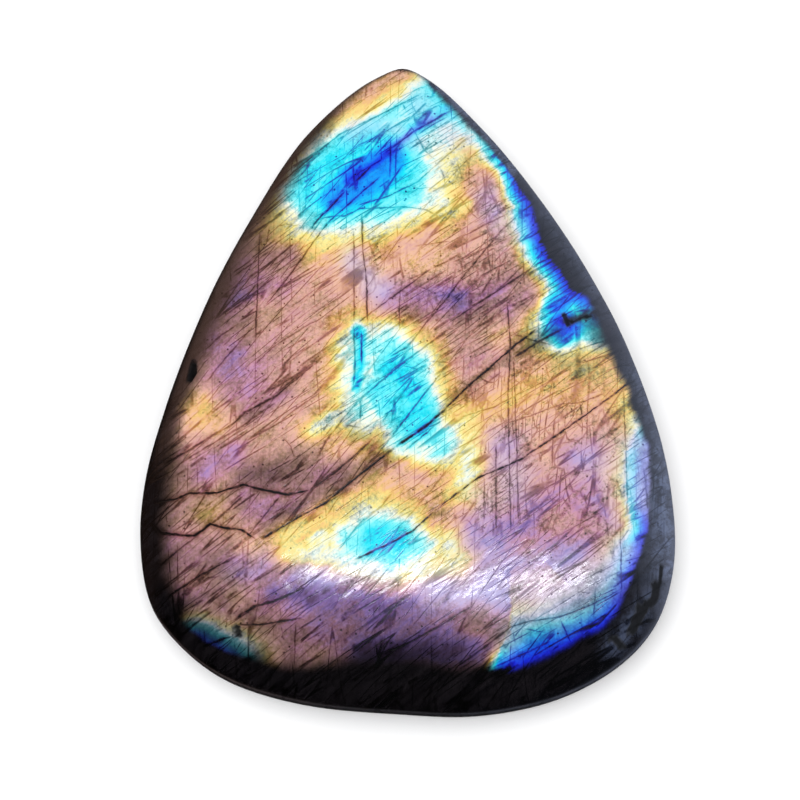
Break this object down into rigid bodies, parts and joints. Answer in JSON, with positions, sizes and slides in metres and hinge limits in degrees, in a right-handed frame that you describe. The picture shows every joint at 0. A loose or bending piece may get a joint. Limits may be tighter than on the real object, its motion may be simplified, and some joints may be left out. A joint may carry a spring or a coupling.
{
  "type": "polished labradorite cabochon",
  "caption": "Pear-shaped polished labradorite stone with a flat back, an upright wall and a low dome that flashes blue, gold and violet.",
  "frame": {"origin": "on the flat back, in the middle of the stone's length and width", "axes": "+Z out of the back towards the crown of the dome, +Y from the broad foot towards the pear's tip, +X to the right with the tip pointing away"},
  "size_m": [0.0326, 0.04, 0.009],
  "materials": {
    "labradorite": "high polish with an iridescent flash"
  },
  "bodies": {
    "root": {"labradorite_stone": "labradorite"}
  },
  "joints": []
}
